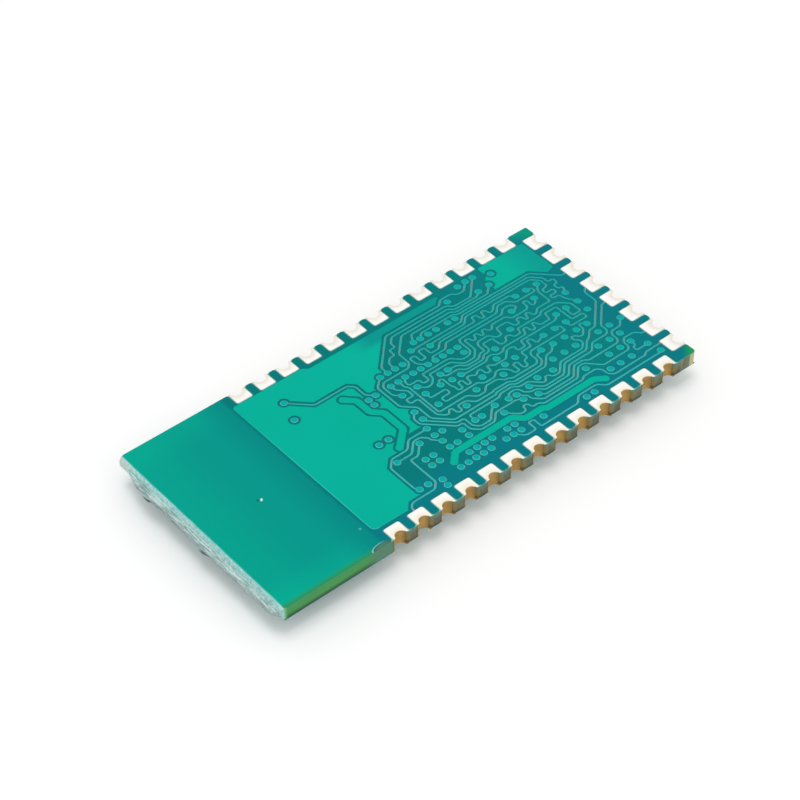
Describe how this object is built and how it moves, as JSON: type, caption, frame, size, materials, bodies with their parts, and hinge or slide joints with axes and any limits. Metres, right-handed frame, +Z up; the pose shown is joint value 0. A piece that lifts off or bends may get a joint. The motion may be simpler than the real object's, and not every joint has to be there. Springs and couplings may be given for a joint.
{
  "type": "radio_module",
  "caption": "Castellated radio module: teal circuit board lying solder side up on its chips, with plated half-hole pads on three edges and a bare antenna end.",
  "frame": {"origin": "middle of the box in plan, at the level of the chips' tops that the module rests on", "axes": "X along the board from the snapped antenna end to the end with pads, Y across it to the far row of pads, Z up out of the solder side"},
  "size_m": [0.0276, 0.013, 0.0019],
  "materials": {
    "laminate": "glass-fibre laminate, rough where it was snapped or milled",
    "copper": "plated copper under the film",
    "solder_mask": "thin teal film, satin",
    "pad_plating": "bright plated pads, warm white",
    "moulding": "black moulding compound",
    "substrate": "dark green laminate",
    "solder": "bright tin solder",
    "dark_ceramic": "fired dark ceramic",
    "lid_metal": "satin metal lid",
    "pale_ceramic": "pale fired ceramic",
    "tan_ceramic": "tan fired ceramic",
    "resistor_glaze": "black glaze"
  },
  "bodies": {
    "root": {"laminate": "laminate", "solder_side_copper": "copper", "solder_side_mask": "solder_mask", "component_side_copper": "copper", "component_side_mask": "solder_mask", "antenna_trace": "copper", "near_castellations": "pad_plating", "far_castellations": "pad_plating", "end_castellations": "pad_plating", "via_barrels": "copper", "radio_chip_cap": "moulding", "radio_chip_substrate": "substrate", "radio_chip_balls": "solder", "memory_chip_cap": "moulding", "memory_chip_substrate": "substrate", "memory_chip_balls": "solder", "crystal_base": "dark_ceramic", "crystal_lid": "lid_metal", "crystal_terminals": "pad_plating", "regulator_body": "moulding", "regulator_leads": "solder", "filter_body": "pale_ceramic", "filter_terminals": "solder", "chip_terminals": "solder", "solder_fillets": "solder", "capacitor_1": "tan_ceramic", "capacitor_2": "tan_ceramic", "capacitor_3": "tan_ceramic", "capacitor_4": "tan_ceramic", "capacitor_5": "tan_ceramic", "capacitor_6": "tan_ceramic", "capacitor_7": "tan_ceramic", "capacitor_8": "tan_ceramic", "resistor_1": "resistor_glaze", "resistor_2": "resistor_glaze", "resistor_3": "resistor_glaze", "inductor": "pale_ceramic"}
  },
  "joints": []
}
